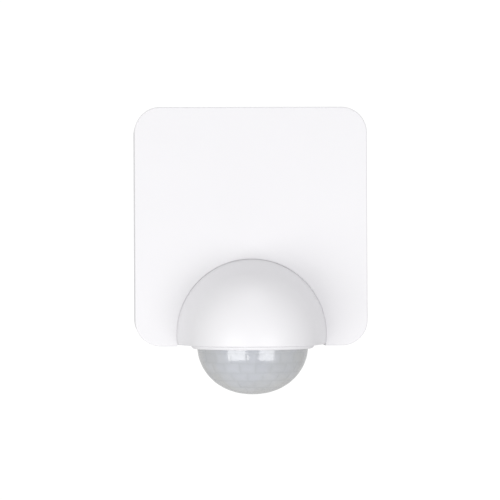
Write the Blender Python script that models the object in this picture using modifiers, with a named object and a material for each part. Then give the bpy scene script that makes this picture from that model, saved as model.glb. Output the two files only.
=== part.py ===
"""Wall-mounted motion sensor: a rounded square housing with a domed hood and a swivelling lens.

The origin is the centre of the wall base's back face, which lies on the wall. The front of
the sensor faces -Y, +X is to the viewer's right and +Z is up. Lengths are in metres.
"""

import math

import bmesh
import bpy
from mathutils import Matrix, Vector

# Front cover. Distances named FRONT, BACK or DEPTH are measured from the wall.
COVER_WIDTH = 0.0950
COVER_HEIGHT = 0.0975
COVER_FRONT = 0.0310
COVER_BACK = 0.0030
COVER_CORNER = 0.0105
COVER_EDGE = 0.0015
COVER_WALL = 0.0022

# Hood over the lens: a tube through the cover, a cone and a half sphere.
HOOD_RADIUS = 0.0269
HOOD_COLLAR = 0.0306
HOOD_WALL = 0.0020
HOOD_CENTRE_RISE = 0.00485
HOOD_RIM_RISE = 0.00055
HOOD_TUBE_LENGTH = 0.0093
HOOD_PANEL_BACK = 0.0115
EAR_RADIUS = 0.0032
EAR_ANGLE = math.radians(50)
EAR_THICKNESS = 0.0020

# Lens and the head that turns with it.
LENS_AXIS = 0.0380
LENS_RADIUS = 0.0225
LENS_DROP = 0.01975
LENS_WALL = 0.0008
RING_WALL = 0.0006
RING_DROP = 0.00135
RING_LIP = 0.0015
RING_LIP_SLOPE = 0.0012
FLANGE_LEDGE = 0.0010
SEAL_THICKNESS = 0.0008
CARRIER_THICKNESS = 0.0015
HUB_RADIUS = 0.0055
HUB_BORE = 0.0035
HUB_HEIGHT = 0.0060
PAN_LIMIT = math.radians(80)
STOP_HEIGHT = 0.0015
STOP_HALF_WIDTH = 0.0020
STOP_REACH = 0.0035
RETAINING_WALL = 0.0014

# Wall base.
BASE_FLOOR = 0.0025
BASE_DEPTH = 0.0090
BASE_WALL = 0.0020
LUG_FRONT = 0.0210
LUG_HEIGHT = 0.0080
LUG_HALF_WIDTH = 0.0040
LUG_INSET = 0.0003
COVER_SCREW_DEPTH = 0.0170
GROMMET_DROP = 0.01525
GROMMET_RADIUS = 0.0080
GROMMET_FLANGE = 0.0014
TERMINAL_HEIGHT = 0.0115
TERMINAL_DEPTH = 0.0088
TERMINAL_PITCH = 0.0100
SLOT_WIDTH = 0.0050
SLOT_LENGTH = 0.0100
SLOT_INSET = 0.0110
SLOT_TOP_INSET = 0.0203
SLOT_BOTTOM_INSET = 0.02215

# Circuit boards and what stands on them.
BOARD_BACK = 0.0100
BOARD_THICKNESS = 0.0016
BOARD_SIDE_GAP = 0.0053
POST_RADIUS = 0.0030
KNOB_SPACING = 0.0140
KNOB_RADIUS = 0.0022
KNOB_STAND = 0.0009
TRIMMER_WIDTH = 0.0090
TRIMMER_HEIGHT = 0.0080
TRIMMER_THICKNESS = 0.0043
PYRO_RADIUS = 0.0046
PYRO_HEIGHT = 0.0042
PYRO_REACH = 0.0086
PYRO_TILT = math.radians(35)
PYRO_SPREAD = math.radians(75)
MOUNT_RADIUS = 0.0065
MOUNT_HEIGHT = 0.0053
LEAD_RADIUS = 0.0014

# Screws: bores are a little wider than the shanks that stand in them.
COVER_SCREW_HEAD = 0.0026
COVER_SCREW_SHANK = 0.0013
COVER_SCREW_RECESS = 0.0012
POST_BORE = 0.0011
BOSS_BORE = 0.0010

# Clearances: between fixed pieces, between pieces that face each other, and past what is cut.
FIT_GAP = 0.0004
FACE_GAP = 0.0003
PAST = 0.0010

# Heights worked out from the driving dimensions.
COVER_BOTTOM = -COVER_HEIGHT / 2
HOOD_CENTRE = COVER_BOTTOM + HOOD_CENTRE_RISE
RIM = COVER_BOTTOM + HOOD_RIM_RISE
PANEL_TOP = RIM + HOOD_WALL
CARRIER_BOTTOM = PANEL_TOP + SEAL_THICKNESS + 2 * FACE_GAP
CARRIER_TOP = CARRIER_BOTTOM + CARRIER_THICKNESS
LENS_TOP = CARRIER_BOTTOM - FACE_GAP
LENS_EQUATOR = RIM - 0.00015

# Sizes that follow their neighbours.
ARCH_RADIUS = HOOD_COLLAR + FIT_GAP
INNER_WIDTH = COVER_WIDTH - 2 * COVER_WALL
INNER_HEIGHT = COVER_HEIGHT - 2 * COVER_WALL
INNER_CORNER = COVER_CORNER - COVER_WALL
BASE_WIDTH = INNER_WIDTH - 2 * FIT_GAP
BASE_HEIGHT = INNER_HEIGHT - 2 * FIT_GAP
BASE_CORNER = INNER_CORNER - FIT_GAP
RING_BORE = LENS_RADIUS + FACE_GAP
RING_RADIUS = RING_BORE + RING_WALL
FLANGE_RADIUS = RING_RADIUS + FLANGE_LEDGE
TUBE_BACK = COVER_FRONT - HOOD_TUBE_LENGTH
BOARD_FRONT = BOARD_BACK + BOARD_THICKNESS
BOARD_HALF_WIDTH = INNER_WIDTH / 2 - BOARD_SIDE_GAP
BOARD_BOTTOM = COVER_BOTTOM + COVER_WALL + 0.0010
BOARD_SHOULDER = -BASE_HEIGHT / 2 + LUG_HEIGHT + 0.0021
GROMMET_HEIGHT = COVER_HEIGHT / 2 - GROMMET_DROP
TERMINAL_TOP = GROMMET_HEIGHT - GROMMET_RADIUS - 0.0040
BOARD_TOP = TERMINAL_TOP - TERMINAL_HEIGHT - 0.0010
COMPONENT_ROW = HOOD_CENTRE + HOOD_COLLAR + 0.0082
TRIMMER_CENTRE = BOARD_BACK - FACE_GAP - TRIMMER_THICKNESS / 2
KNOB_HALF_ROW = KNOB_SPACING + TRIMMER_WIDTH / 2 + 0.0015
COVER_SCREW_X = HOOD_COLLAR + LUG_HALF_WIDTH + 0.0009
POST_X = BOARD_HALF_WIDTH - POST_RADIUS - 0.0010
POST_HEIGHTS = {"upper": BOARD_TOP - 0.0050, "lower": HOOD_CENTRE + 0.0199}
EAR_REACH = HOOD_COLLAR + 0.0026
SIDES = {"left": -1, "right": 1}
SENSOR_BOARD_RADIUS = LENS_RADIUS - LENS_WALL - 0.0017
SENSOR_BOARD_TOP = CARRIER_BOTTOM - 0.0013
SENSOR_BOARD_BOTTOM = SENSOR_BOARD_TOP - BOARD_THICKNESS

for item in list(bpy.data.objects):
    bpy.data.objects.remove(item, do_unlink=True)

MODEL = bpy.data.collections.new("motion_sensor")
CUTTERS = bpy.data.collections.new("cutters")
bpy.context.scene.collection.children.link(MODEL)
bpy.context.scene.collection.children.link(CUTTERS)


def make_material(name, colour, roughness, metallic=0.0):
    """A Principled material in one colour."""
    material = bpy.data.materials.new(name)
    material.use_nodes = True
    shader = material.node_tree.nodes["Principled BSDF"]
    shader.inputs["Base Color"].default_value = (*colour, 1.0)
    shader.inputs["Roughness"].default_value = roughness
    shader.inputs["Metallic"].default_value = metallic
    return material


WHITE_PLASTIC = make_material("white_plastic", (0.86, 0.86, 0.87), 0.38)
LENS_PLASTIC = make_material("lens_plastic", (0.62, 0.65, 0.68), 0.30)
BLACK_RUBBER = make_material("black_rubber", (0.04, 0.04, 0.04), 0.75)
GREY_RUBBER = make_material("grey_rubber", (0.35, 0.35, 0.36), 0.70)
STEEL = make_material("zinc_steel", (0.62, 0.62, 0.63), 0.32, 1.0)
GREEN_BOARD = make_material("green_board", (0.03, 0.22, 0.09), 0.45)
BLACK_PLASTIC = make_material("black_plastic", (0.03, 0.03, 0.035), 0.45)
BLUE_PLASTIC = make_material("blue_plastic", (0.05, 0.14, 0.42), 0.40)
YELLOW_PLASTIC = make_material("yellow_plastic", (0.78, 0.58, 0.08), 0.40)
GREY_PLASTIC = make_material("grey_plastic", (0.45, 0.46, 0.47), 0.45)
RED_PLASTIC = make_material("red_plastic", (0.60, 0.04, 0.03), 0.25)


def finish(item, name, material):
    """Name an object, give it its material and put it in the model's collection."""
    item.name = name
    item.data.name = name
    item.data.materials.clear()
    item.data.materials.append(material)
    for collection in list(item.users_collection):
        collection.objects.unlink(item)
    MODEL.objects.link(item)
    return item


def as_cutter(item, name):
    """Move an object to the cutters' collection and draw it as wire."""
    item.name = name
    item.display_type = "WIRE"
    item.hide_render = True
    for collection in list(item.users_collection):
        collection.objects.unlink(item)
    CUTTERS.objects.link(item)
    return item


def combine(item, other, operation):
    """Add a Boolean modifier that cuts, joins or intersects item with other."""
    modifier = item.modifiers.new(other.name, "BOOLEAN")
    modifier.operation = operation
    modifier.solver = "EXACT"
    modifier.object = other


def cut(item, other, name):
    combine(item, as_cutter(other, name), "DIFFERENCE")


def join(item, other, name):
    combine(item, as_cutter(other, name), "UNION")


def box(low, high):
    """A box between two corners, from the cube primitive."""
    low = Vector(low)
    high = Vector(high)
    bpy.ops.mesh.primitive_cube_add(size=1.0)
    item = bpy.context.object
    item.data.transform(Matrix.Diagonal((*(high - low), 1.0)))
    item.location = (low + high) / 2
    return item


def cylinder(radius, length, centre, axis=(0, 0, 1), sides=24):
    """A cylinder primitive about a point, along any axis."""
    bpy.ops.mesh.primitive_cylinder_add(vertices=sides, radius=radius, depth=length)
    item = bpy.context.object
    turn = Vector((0, 0, 1)).rotation_difference(Vector(axis)).to_matrix().to_4x4()
    item.data.transform(turn)
    item.location = centre
    return item


def turned(profile, location=(0, 0, 0), out_of_wall=False, sides=48):
    """Turn a profile of (radius, height) points, which runs down its outer side.

    A profile that starts on the axis is open; any other is closed into a ring. With
    out_of_wall, heights are distances from the wall along -Y.
    """
    mesh = bpy.data.meshes.new("profile")
    points = [(radius, 0, height) for radius, height in profile]
    edges = [(index, index + 1) for index in range(len(points) - 1)]
    if profile[0][0] > 0:
        edges.append((len(points) - 1, 0))
    mesh.from_pydata(points, edges, [])
    item = bpy.data.objects.new("turned", mesh)
    bpy.context.scene.collection.objects.link(item)
    if out_of_wall:
        item.rotation_euler = (math.pi / 2, 0, 0)
    item.location = location
    screw = item.modifiers.new("turn", "SCREW")
    screw.angle = 2 * math.pi
    screw.steps = sides
    screw.render_steps = sides
    screw.use_merge_vertices = True
    screw.merge_threshold = 0.00001
    return item


def arc(centre, radii, start, end, steps):
    """Points on an arc or ellipse about centre, from one angle to another."""
    points = []
    for step in range(steps + 1):
        angle = start + (end - start) * step / steps
        across = centre[0] + radii[0] * math.cos(angle)
        along = centre[1] + radii[1] * math.sin(angle)
        points.append((max(across, 0.0), along))
    return points


def slab(width, height, corner, near, far, centre=(0.0, 0.0), steps=6):
    """A rounded rectangle facing the front, between two distances from the wall."""
    outline = []
    quarters = ((1, 1, 0), (-1, 1, 1), (-1, -1, 2), (1, -1, 3))
    for side_x, side_z, quarter in quarters:
        middle = (side_x * (width / 2 - corner), side_z * (height / 2 - corner))
        for step in range(steps + 1):
            angle = (quarter + step / steps) * math.pi / 2
            outline.append((middle[0] + corner * math.cos(angle),
                            middle[1] + corner * math.sin(angle)))
    curve = bpy.data.curves.new("outline", "CURVE")
    curve.dimensions = "2D"
    curve.fill_mode = "BOTH"
    curve.extrude = (far - near) / 2
    spline = curve.splines.new("POLY")
    spline.points.add(len(outline) - 1)
    spline.use_cyclic_u = True
    for point, (across, up) in zip(spline.points, outline):
        point.co = (across, up, 0.0, 1.0)
    flat = bpy.data.objects.new("outline", curve)
    bpy.context.scene.collection.objects.link(flat)
    flat.rotation_euler = (math.pi / 2, 0, 0)
    flat.location = (centre[0], -(near + far) / 2, centre[1])
    return mesh_from_curve(flat)


def mesh_from_curve(flat):
    """Turn a curve object into a mesh object in the same place, with its caps welded."""
    bpy.context.view_layer.update()
    evaluated = flat.evaluated_get(bpy.context.evaluated_depsgraph_get())
    mesh = bpy.data.meshes.new_from_object(evaluated)
    work = bmesh.new()
    work.from_mesh(mesh)
    bmesh.ops.remove_doubles(work, verts=work.verts, dist=0.00001)
    bmesh.ops.dissolve_limit(work, angle_limit=math.radians(1), verts=work.verts,
                             edges=work.edges)
    bmesh.ops.recalc_face_normals(work, faces=work.faces)
    work.to_mesh(mesh)
    work.free()
    item = bpy.data.objects.new("slab", mesh)
    bpy.context.scene.collection.objects.link(item)
    item.matrix_world = flat.matrix_world.copy()
    bpy.data.objects.remove(flat, do_unlink=True)
    return item


def smooth(item):
    """Shade a round piece smooth, with sharp edges where it turns a corner."""
    item.data.shade_smooth()
    item.data.set_sharp_from_angle(angle=math.radians(35))


def pivot(name, location):
    """An empty on a joint's axis, for the pieces that turn about it."""
    empty = bpy.data.objects.new(name, None)
    empty.location = location
    empty.empty_display_size = 0.01
    MODEL.objects.link(empty)
    return empty


def hang_on(empty, item):
    """Parent an object to a pivot without moving it."""
    item.parent = empty
    item.matrix_parent_inverse = Matrix.Translation(-empty.location)


def ear_place(side):
    """Where a hood ear's screw stands, as x and height."""
    across = side * EAR_REACH * math.sin(EAR_ANGLE)
    up = HOOD_CENTRE + EAR_REACH * math.cos(EAR_ANGLE)
    return across, up


def knob_places():
    """The three adjusters' names and x positions."""
    names = ("range", "time", "twilight")
    return [(name, (index - 1) * KNOB_SPACING) for index, name in enumerate(names)]


# ---------------------------------------------------------------- wall base and its pieces


def make_lug(base, side, label):
    """A lug on the base that a cover screw runs up into."""
    centre_x = side * COVER_SCREW_X
    low = (centre_x - LUG_HALF_WIDTH, -LUG_FRONT, -BASE_HEIGHT / 2 - PAST)
    high = (centre_x + LUG_HALF_WIDTH, -BASE_FLOOR / 2, -BASE_HEIGHT / 2 + LUG_HEIGHT)
    lug = box(low, high)
    outline = slab(BASE_WIDTH - 2 * LUG_INSET, BASE_HEIGHT - 2 * LUG_INSET,
                   BASE_CORNER - LUG_INSET, 0.0, LUG_FRONT + PAST)
    combine(lug, as_cutter(outline, f"lug_outline_{label}"), "INTERSECT")
    join(base, lug, f"lug_{label}")
    bore = cylinder(COVER_SCREW_SHANK + FACE_GAP, LUG_HEIGHT,
                    (centre_x, -COVER_SCREW_DEPTH, -BASE_HEIGHT / 2), sides=16)
    cut(base, bore, f"lug_bore_{label}")


def make_wall_base():
    base = slab(BASE_WIDTH, BASE_HEIGHT, BASE_CORNER, 0.0, BASE_DEPTH)
    pocket = slab(BASE_WIDTH - 2 * BASE_WALL, BASE_HEIGHT - 2 * BASE_WALL,
                  BASE_CORNER - BASE_WALL, BASE_FLOOR, BASE_DEPTH + PAST)
    cut(base, pocket, "base_pocket")
    notch = box((-KNOB_HALF_ROW, -BASE_DEPTH - PAST, -BASE_HEIGHT / 2 - PAST),
                (KNOB_HALF_ROW, -BASE_FLOOR, -BASE_HEIGHT / 2 + BASE_WALL + PAST))
    cut(base, notch, "knob_notch")
    for label, side in SIDES.items():
        make_lug(base, side, label)
        for row, height in (("top", BASE_HEIGHT / 2 - SLOT_TOP_INSET),
                            ("bottom", SLOT_BOTTOM_INSET - BASE_HEIGHT / 2)):
            place = (side * (BASE_WIDTH / 2 - SLOT_INSET), height)
            slot = slab(SLOT_WIDTH, SLOT_LENGTH, SLOT_WIDTH / 2 - 0.00005, -PAST,
                        BASE_FLOOR + PAST, place, steps=4)
            cut(base, slot, f"slot_{row}_{label}")
    hole = cylinder(GROMMET_RADIUS, 4 * BASE_FLOOR, (0, -BASE_FLOOR / 2, GROMMET_HEIGHT),
                    (0, -1, 0), sides=32)
    cut(base, hole, "grommet_hole")
    finish(base, "wall_base", WHITE_PLASTIC)


def make_cable_grommet():
    """A soft cone that the mains cable is pushed through."""
    neck = GROMMET_RADIUS - FACE_GAP
    flange = GROMMET_RADIUS + GROMMET_FLANGE
    flange_back = BASE_FLOOR + FACE_GAP
    flange_front = flange_back + GROMMET_FLANGE
    profile = [(0, flange_front + 0.0022), (0.0022, flange_front + 0.0020),
               (neck - 0.0020, flange_front), (flange, flange_front), (flange, flange_back),
               (neck, flange_back), (neck, FACE_GAP), (neck - 0.0012, FACE_GAP),
               (neck - 0.0012, flange_back + 0.0004), (0, flange_back + 0.0024)]
    grommet = turned(profile, (0, 0, GROMMET_HEIGHT), out_of_wall=True, sides=24)
    smooth(grommet)
    finish(grommet, "cable_grommet", BLACK_RUBBER)


def make_terminal_block():
    """The mains terminals on the base, with a sunk screw and a wire hole for each."""
    back = BASE_FLOOR + FACE_GAP
    front = back + TERMINAL_DEPTH
    top = TERMINAL_TOP
    half_width = 1.6 * TERMINAL_PITCH
    block = box((-half_width, -front, top - TERMINAL_HEIGHT), (half_width, -back, top))
    middle = top - TERMINAL_HEIGHT / 2
    for index, label in enumerate(("line", "neutral", "load")):
        across = (index - 1) * TERMINAL_PITCH
        well = cylinder(0.0026, TERMINAL_DEPTH, (across, -front, middle), (0, -1, 0), sides=16)
        cut(block, well, f"terminal_well_{label}")
        wire = cylinder(0.0015, 0.0050, (across, -back - 0.0022, top), sides=12)
        cut(block, wire, f"terminal_wire_{label}")
        make_terminal_screw(label, across, middle, front)
    finish(block, "terminal_block", GREY_PLASTIC)


def make_terminal_screw(label, across, height, front):
    screw = cylinder(0.0022, 0.0034, (across, -front + 0.0024, height), (0, -1, 0), sides=20)
    slot = box((across - 0.0030, -front - 0.0002, height - 0.0004),
               (across + 0.0030, -front + 0.0016, height + 0.0004))
    cut(screw, slot, f"terminal_slot_{label}")
    finish(screw, f"terminal_screw_{label}", STEEL)


def make_plug_in_contacts():
    """The two halves of the connector that joins the electronics to the base."""
    back = BASE_FLOOR + FACE_GAP
    parting = (back + BOARD_BACK) / 2
    half = 0.0080
    high_z = BOARD_TOP - 0.0050
    low_z = high_z - 0.0060
    header = box((-half, -parting + FACE_GAP, low_z), (half, -back, high_z))
    finish(header, "base_header", BLACK_PLASTIC)
    socket = box((-half, -BOARD_BACK + FACE_GAP, low_z), (half, -parting, high_z))
    finish(socket, "board_socket", GREY_PLASTIC)


def make_cover_seal():
    """Soft strip on the rim of the base, over the top and down both sides."""
    near = BASE_DEPTH + FACE_GAP
    far = near + 0.0010
    seal = slab(BASE_WIDTH, BASE_HEIGHT, BASE_CORNER, near, far)
    inside = slab(BASE_WIDTH - 2 * BASE_WALL, BASE_HEIGHT - 2 * BASE_WALL,
                  BASE_CORNER - BASE_WALL, near - PAST, far + PAST)
    cut(seal, inside, "seal_inside")
    end = -BASE_HEIGHT / 2 + 0.0160
    lower = box((-BASE_WIDTH, -far - PAST, -BASE_HEIGHT), (BASE_WIDTH, -near + PAST, end))
    cut(seal, lower, "seal_lower")
    finish(seal, "cover_seal", GREY_RUBBER)


# ------------------------------------------------------------------------- cover and hood


def round_front_edge(item, front, width):
    """Round the edges that lie in the cover's front plane."""
    work = bmesh.new()
    work.from_mesh(item.data)
    place = item.matrix_world
    edges = []
    for edge in work.edges:
        ends = [(place @ vert.co).y for vert in edge.verts]
        if len(edge.link_faces) == 2 and all(abs(y + front) < 0.00001 for y in ends):
            edges.append(edge)
    bmesh.ops.bevel(work, geom=edges, offset=width, segments=3, affect="EDGES", profile=0.5)
    work.to_mesh(item.data)
    work.free()


def make_front_cover():
    cover = slab(COVER_WIDTH, COVER_HEIGHT, COVER_CORNER, COVER_BACK, COVER_FRONT, steps=8)
    round_front_edge(cover, COVER_FRONT, COVER_EDGE)
    pocket = slab(INNER_WIDTH, INNER_HEIGHT, INNER_CORNER, COVER_BACK - PAST,
                  COVER_FRONT - COVER_WALL, steps=8)
    cut(cover, pocket, "cover_pocket")
    for label, side in SIDES.items():
        add_cover_posts(cover, side, label)
        add_cover_screw_hole(cover, side, label)
    opening_back = HOOD_PANEL_BACK - FACE_GAP
    opening_front = COVER_FRONT + PAST
    arch = cylinder(ARCH_RADIUS, opening_front - opening_back,
                    (0, -(opening_front + opening_back) / 2, HOOD_CENTRE), (0, -1, 0), sides=64)
    cut(cover, arch, "hood_opening")
    for name, across in knob_places():
        hole = cylinder(KNOB_RADIUS + FACE_GAP, 4 * COVER_WALL,
                        (across, -TRIMMER_CENTRE, COVER_BOTTOM), sides=24)
        cut(cover, hole, f"{name}_hole")
    finish(cover, "front_cover", WHITE_PLASTIC)


def add_cover_posts(cover, side, label):
    """Posts behind the cover's face for the power board and a boss for the hood's ear."""
    wall = COVER_FRONT - COVER_WALL / 2
    start = BOARD_FRONT + FACE_GAP
    for row, height in POST_HEIGHTS.items():
        place = (side * POST_X, -(wall + start) / 2, height)
        join(cover, cylinder(POST_RADIUS, wall - start, place, (0, -1, 0), sides=16),
             f"post_{row}_{label}")
        place = (side * POST_X, -start, height)
        cut(cover, cylinder(POST_BORE, 0.0120, place, (0, -1, 0), sides=12),
            f"post_bore_{row}_{label}")
    across, up = ear_place(side)
    start = TUBE_BACK + EAR_THICKNESS + FACE_GAP
    join(cover, cylinder(0.0019, wall - start, (across, -(wall + start) / 2, up), (0, -1, 0),
                         sides=16), f"boss_{label}")
    cut(cover, cylinder(BOSS_BORE, 0.0080, (across, -start, up), (0, -1, 0), sides=12),
        f"boss_bore_{label}")


def add_cover_screw_hole(cover, side, label):
    """A counterbored hole through the cover's underside."""
    place = (side * COVER_SCREW_X, -COVER_SCREW_DEPTH, COVER_BOTTOM)
    recess = cylinder(COVER_SCREW_HEAD + 0.0005, 2 * COVER_SCREW_RECESS, place, sides=24)
    cut(cover, recess, f"screw_recess_{label}")
    hole = cylinder(COVER_SCREW_SHANK + FIT_GAP, 6 * COVER_WALL, place, sides=16)
    cut(cover, hole, f"screw_hole_{label}")


def make_cover_screw(label, side):
    """A pan-head screw that runs up through the cover into the base's lug."""
    head_bottom = COVER_BOTTOM + 0.0001
    seat = COVER_BOTTOM + COVER_SCREW_RECESS - FACE_GAP
    tip = -BASE_HEIGHT / 2 + LUG_HEIGHT / 2 - FACE_GAP
    profile = [(0, tip), (COVER_SCREW_SHANK * 0.7, tip - 0.0006),
               (COVER_SCREW_SHANK, tip - 0.0012), (COVER_SCREW_SHANK, seat),
               (COVER_SCREW_HEAD, seat), (COVER_SCREW_HEAD, head_bottom + 0.0002),
               (COVER_SCREW_HEAD - 0.0003, head_bottom), (0, head_bottom)]
    screw = turned(profile, (side * COVER_SCREW_X, -COVER_SCREW_DEPTH, 0), sides=24)
    for turn, name in ((0.0016, "across"), (0.0004, "along")):
        other = 0.0020 - turn
        slot = box((side * COVER_SCREW_X - turn, -COVER_SCREW_DEPTH - other, head_bottom - PAST),
                   (side * COVER_SCREW_X + turn, -COVER_SCREW_DEPTH + other,
                    head_bottom + 0.0006))
        cut(screw, slot, f"cover_screw_{name}_{label}")
    smooth(screw)
    finish(screw, f"cover_screw_{label}", STEEL)


def cone_tangent(radius, collar, front):
    """The angle on the dome, from its equator, where the cone to the collar touches it."""
    behind = LENS_AXIS - front
    reach = math.hypot(collar, behind)
    return math.acos(radius / reach) - math.atan2(behind, collar)


def hood_profile(inset, back):
    """Half the hood's section about its level axis: dome, cone and tube, to the axis."""
    radius = HOOD_RADIUS - inset
    collar = HOOD_COLLAR - inset
    touch = cone_tangent(radius, collar, COVER_FRONT)
    dome = arc((0, LENS_AXIS), (radius, radius), math.pi / 2, touch, 9)
    dome[0] = (0, LENS_AXIS + radius)
    return [*dome, (collar, COVER_FRONT), (collar, back), (0, back)]


def make_hood():
    hood = turned(hood_profile(0, TUBE_BACK), (0, 0, HOOD_CENTRE), out_of_wall=True, sides=56)
    panel_half = HOOD_COLLAR - 0.0008
    panel = box((-panel_half, -TUBE_BACK - HOOD_WALL, RIM - 4 * PAST),
                (panel_half, -HOOD_PANEL_BACK, PANEL_TOP))
    join(hood, panel, "hood_rear_panel")
    for label, side in SIDES.items():
        across, up = ear_place(side)
        middle = TUBE_BACK + EAR_THICKNESS / 2
        join(hood, cylinder(EAR_RADIUS, EAR_THICKNESS, (across, -middle, up), (0, -1, 0),
                            sides=20), f"hood_ear_{label}")
    below = box((-COVER_WIDTH, -COVER_WIDTH, RIM - COVER_WIDTH), (COVER_WIDTH, 0, RIM))
    cut(hood, below, "below_rim")
    inside = turned(hood_profile(HOOD_WALL, TUBE_BACK - PAST), (0, 0, HOOD_CENTRE),
                    out_of_wall=True, sides=56)
    floor = box((-COVER_WIDTH, -COVER_WIDTH, PANEL_TOP - COVER_WIDTH),
                (COVER_WIDTH, 0, PANEL_TOP))
    cut(inside, floor, "above_panel")
    cut(hood, inside, "hood_inside")
    opening = cylinder(RING_RADIUS + FACE_GAP, 4 * HOOD_WALL, (0, -LENS_AXIS, RIM), sides=56)
    cut(hood, opening, "lens_opening")
    for label, side in SIDES.items():
        across, up = ear_place(side)
        cut(hood, cylinder(0.0013, 4 * EAR_THICKNESS, (across, -TUBE_BACK, up), (0, -1, 0),
                           sides=12), f"hood_ear_hole_{label}")
    finish(hood, "hood", WHITE_PLASTIC)


def small_screw(name, place, up, head_radius, shank_radius, head, shank, material=STEEL):
    """A small screw with its head's seat at place and its shank pointing along up."""
    profile = [(0, shank), (shank_radius, shank - shank_radius), (shank_radius, 0),
               (head_radius, 0), (head_radius, -head * 0.7), (head_radius * 0.8, -head),
               (0, -head)]
    screw = turned(profile, place, sides=12)
    screw.rotation_mode = "QUATERNION"
    screw.rotation_quaternion = Vector((0, 0, 1)).rotation_difference(Vector(up))
    smooth(screw)
    return finish(screw, name, material)


def make_hood_screws():
    for label, side in SIDES.items():
        across, up = ear_place(side)
        seat = TUBE_BACK - FACE_GAP
        small_screw(f"hood_screw_{label}", (across, -seat, up), (0, -1, 0), 0.0019, 0.0007,
                    0.0011, 0.0055)


def make_retaining_ring():
    """A snap ring over the head's flange, with two stops that limit its swing."""
    bottom = CARRIER_TOP + FACE_GAP
    top = CARRIER_TOP + STOP_HEIGHT
    outer = FLANGE_RADIUS - 0.0001
    inner = outer - RETAINING_WALL
    ring = turned([(outer, top), (outer, bottom), (inner, bottom), (inner, top)],
                  (0, -LENS_AXIS, 0), sides=48)
    reach = inner - STOP_REACH
    swing = PAN_LIMIT + 2 * math.asin(STOP_HALF_WIDTH / reach) + math.radians(2)
    for label, side in SIDES.items():
        stop = box((-STOP_HALF_WIDTH, -inner - RETAINING_WALL / 2, bottom + PAST / 10),
                   (STOP_HALF_WIDTH, -reach, top - PAST / 10))
        turn = Matrix.Rotation(side * swing, 4, "Z")
        stop.data.transform(Matrix.Translation(stop.location))
        stop.data.transform(turn)
        stop.location = (0, -LENS_AXIS, 0)
        join(ring, stop, f"stop_{label}")
    finish(ring, "retaining_ring", GREY_PLASTIC)


# ---------------------------------------------------------------------- the turning head


def make_lens_ring(head):
    """The white collar round the lens, with a sloping lip under the hood's panel."""
    lip = RING_RADIUS + RING_LIP
    lip_top = RIM - FACE_GAP
    profile = [(RING_RADIUS, LENS_TOP), (RING_RADIUS, lip_top), (lip, lip_top),
               (lip, lip_top - FACE_GAP), (lip - RING_LIP_SLOPE, RIM - RING_DROP),
               (RING_BORE, RIM - RING_DROP), (RING_BORE, LENS_TOP)]
    ring = turned(profile, (0, -LENS_AXIS, 0), sides=56)
    smooth(ring)
    hang_on(head, finish(ring, "lens_ring", WHITE_PLASTIC))


def make_fresnel_lens(head):
    """A thin bowl of lens plastic with a straight neck."""
    outer = arc((0, LENS_EQUATOR), (LENS_RADIUS, LENS_DROP), 0, -math.pi / 2, 10)
    outer[-1] = (0, LENS_EQUATOR - LENS_DROP)
    inner_radii = (LENS_RADIUS - LENS_WALL, LENS_DROP - LENS_WALL)
    inner = arc((0, LENS_EQUATOR), inner_radii, -math.pi / 2, 0, 10)
    inner[0] = (0, LENS_EQUATOR - LENS_DROP + LENS_WALL)
    profile = [(0, inner[0][1]), *inner[1:], (inner_radii[0], LENS_TOP),
               (LENS_RADIUS, LENS_TOP), *outer]
    lens = turned(profile, (0, -LENS_AXIS, 0), sides=56)
    smooth(lens)
    hang_on(head, finish(lens, "fresnel_lens", LENS_PLASTIC))


def make_lens_carrier(head):
    """The disc over the lens: a hub for the lead, a ring for the board and a stop lug."""
    radius = FLANGE_RADIUS
    board_ring = (0.0115, 0.0145)
    ring_bottom = SENSOR_BOARD_TOP + FACE_GAP
    profile = [(HUB_RADIUS, CARRIER_TOP + HUB_HEIGHT), (HUB_RADIUS, CARRIER_TOP),
               (radius, CARRIER_TOP), (radius, CARRIER_BOTTOM), (board_ring[1], CARRIER_BOTTOM),
               (board_ring[1], ring_bottom), (board_ring[0], ring_bottom),
               (board_ring[0], CARRIER_BOTTOM), (HUB_BORE, CARRIER_BOTTOM),
               (HUB_BORE, CARRIER_TOP + HUB_HEIGHT)]
    carrier = turned(profile, (0, -LENS_AXIS, 0), sides=48)
    lug_reach = radius - RETAINING_WALL - 0.0007
    lug = box((-STOP_HALF_WIDTH, -LENS_AXIS - lug_reach, CARRIER_TOP - PAST / 2),
              (STOP_HALF_WIDTH, -LENS_AXIS - lug_reach + STOP_REACH,
               CARRIER_TOP + STOP_HEIGHT))
    join(carrier, lug, "carrier_stop_lug")
    middle = sum(board_ring) / 2
    for label, side in SIDES.items():
        bore = cylinder(0.0009, 0.0030, (side * middle, -LENS_AXIS, ring_bottom), sides=12)
        cut(carrier, bore, f"carrier_bore_{label}")
    hang_on(head, finish(carrier, "lens_carrier", GREY_PLASTIC))
    return middle


def make_head_seal(head):
    bottom = PANEL_TOP + FACE_GAP
    top = bottom + SEAL_THICKNESS
    inner = RING_RADIUS + FACE_GAP
    seal = turned([(FLANGE_RADIUS, top), (FLANGE_RADIUS, bottom), (inner, bottom), (inner, top)],
                  (0, -LENS_AXIS, 0), sides=48)
    hang_on(head, finish(seal, "head_seal", GREY_RUBBER))


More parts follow.
